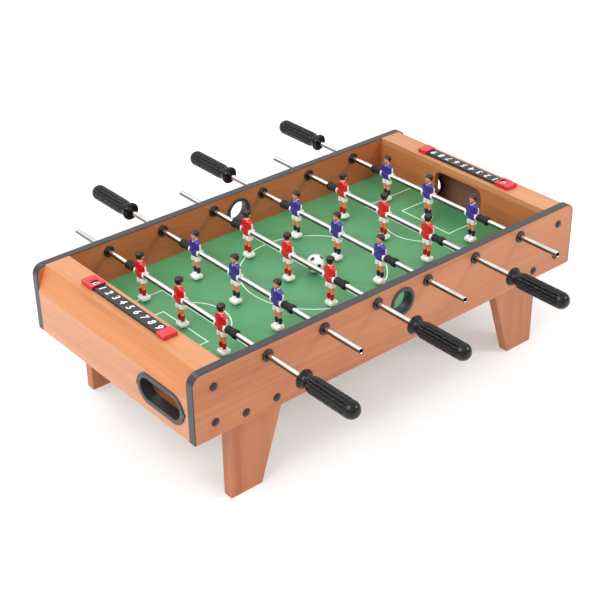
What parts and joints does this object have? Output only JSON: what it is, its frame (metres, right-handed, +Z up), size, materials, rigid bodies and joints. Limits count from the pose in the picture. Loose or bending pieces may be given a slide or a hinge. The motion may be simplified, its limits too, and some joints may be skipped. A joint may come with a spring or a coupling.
{
  "type": "tabletop foosball table",
  "caption": "Tabletop foosball table: low wooden cabinet on board legs, spinning and sliding rods with red and blue figures, goals, ball returns, scorers and a ball.",
  "frame": {"origin": "on the floor under the middle of the cabinet", "axes": "+X along the cabinet towards the right end (the red figures' attacking direction), +Y along the rods towards the back side panel, +Z up"},
  "size_m": [0.6958, 0.69, 0.237],
  "materials": {
    "wood_laminate": "satin",
    "edge_trim": "matte",
    "pitch_print": "satin",
    "black_plastic": "satin",
    "ring_plastic": "satin",
    "screw_steel": "satin",
    "score_black": "gloss",
    "score_red": "gloss",
    "chrome_rod": "polished",
    "bumper_rubber": "matte",
    "handle_plastic": "satin",
    "figure_red": "gloss",
    "figure_blue": "gloss",
    "ball_plastic": "gloss"
  },
  "bodies": {
    "table": {"side_panel_front": "wood_laminate", "side_panel_back": "wood_laminate", "edge_band_front": "edge_trim", "edge_band_back": "edge_trim", "end_board_left": "wood_laminate", "end_board_right": "wood_laminate", "end_bevel_left": "wood_laminate", "end_bevel_right": "wood_laminate", "end_top_left": "wood_laminate", "end_top_right": "wood_laminate", "goal_wall_left": "wood_laminate", "goal_wall_right": "wood_laminate", "playfield": "pitch_print", "leg_front_left": "wood_laminate", "leg_front_right": "wood_laminate", "leg_back_left": "wood_laminate", "leg_back_right": "wood_laminate", "corner_blocks": "wood_laminate", "ball_tray_left": "wood_laminate", "ball_tray_right": "wood_laminate", "panel_bolts": "black_plastic", "rod_bushes_front": "black_plastic", "rod_bushes_back": "black_plastic", "serve_ring_front": "ring_plastic", "serve_ring_back": "ring_plastic", "return_ring_left": "ring_plastic", "return_ring_right": "ring_plastic", "return_ring_screws": "screw_steel", "score_rail_left": "score_black", "score_rail_right": "score_black", "score_caps_left": "score_red", "score_caps_right": "score_red"},
    "score_slider_left": {"score_slider_left": "score_red"},
    "score_slider_right": {"score_slider_right": "score_red"},
    "ball": {"ball": "ball_plastic"},
    "bumpers_1": {"bumpers_1": "bumper_rubber"},
    "rod_1": {"tube_1": "chrome_rod", "handle_1": "handle_plastic", "players_1": "figure_red"},
    "bumpers_2": {"bumpers_2": "bumper_rubber"},
    "rod_2": {"tube_2": "chrome_rod", "handle_2": "handle_plastic", "players_2": "figure_blue"},
    "bumpers_3": {"bumpers_3": "bumper_rubber"},
    "rod_3": {"tube_3": "chrome_rod", "handle_3": "handle_plastic", "players_3": "figure_red"},
    "bumpers_4": {"bumpers_4": "bumper_rubber"},
    "rod_4": {"tube_4": "chrome_rod", "handle_4": "handle_plastic", "players_4": "figure_blue"},
    "bumpers_5": {"bumpers_5": "bumper_rubber"},
    "rod_5": {"tube_5": "chrome_rod", "handle_5": "handle_plastic", "players_5": "figure_red"},
    "bumpers_6": {"bumpers_6": "bumper_rubber"},
    "rod_6": {"tube_6": "chrome_rod", "handle_6": "handle_plastic", "players_6": "figure_blue"}
  },
  "joints": [
    {"name": "score_left_slide", "type": "slide", "parent": "table", "child": "score_slider_left", "axis": [0, -1, 0], "range_m": [0, 0.144]},
    {"name": "score_right_slide", "type": "slide", "parent": "table", "child": "score_slider_right", "axis": [0, 1, 0], "range_m": [0, 0.144]},
    {"name": "ball_roll", "type": "slide", "parent": "table", "child": "ball", "axis": [0, 1, 0], "range_m": [-0.145, 0.155]},
    {"name": "rod_1_slide", "type": "slide", "parent": "table", "child": "bumpers_1", "axis": [0, 1, 0], "range_m": [-0.045, 0.045]},
    {"name": "rod_1_spin", "type": "hinge", "parent": "bumpers_1", "child": "rod_1", "pos_m": [-0.23, 0, 0.202], "axis": [0, 1, 0], "continuous": true},
    {"name": "rod_2_slide", "type": "slide", "parent": "table", "child": "bumpers_2", "axis": [0, 1, 0], "range_m": [-0.045, 0.045]},
    {"name": "rod_2_spin", "type": "hinge", "parent": "bumpers_2", "child": "rod_2", "pos_m": [-0.138, 0, 0.202], "axis": [0, 1, 0], "continuous": true},
    {"name": "rod_3_slide", "type": "slide", "parent": "table", "child": "bumpers_3", "axis": [0, 1, 0], "range_m": [-0.045, 0.045]},
    {"name": "rod_3_spin", "type": "hinge", "parent": "bumpers_3", "child": "rod_3", "pos_m": [-0.046, 0, 0.202], "axis": [0, 1, 0], "continuous": true},
    {"name": "rod_4_slide", "type": "slide", "parent": "table", "child": "bumpers_4", "axis": [0, 1, 0], "range_m": [-0.045, 0.045]},
    {"name": "rod_4_spin", "type": "hinge", "parent": "bumpers_4", "child": "rod_4", "pos_m": [0.046, 0, 0.202], "axis": [0, 1, 0], "continuous": true},
    {"name": "rod_5_slide", "type": "slide", "parent": "table", "child": "bumpers_5", "axis": [0, 1, 0], "range_m": [-0.045, 0.045]},
    {"name": "rod_5_spin", "type": "hinge", "parent": "bumpers_5", "child": "rod_5", "pos_m": [0.138, 0, 0.202], "axis": [0, 1, 0], "continuous": true},
    {"name": "rod_6_slide", "type": "slide", "parent": "table", "child": "bumpers_6", "axis": [0, 1, 0], "range_m": [-0.045, 0.045]},
    {"name": "rod_6_spin", "type": "hinge", "parent": "bumpers_6", "child": "rod_6", "pos_m": [0.23, 0, 0.202], "axis": [0, 1, 0], "continuous": true}
  ]
}
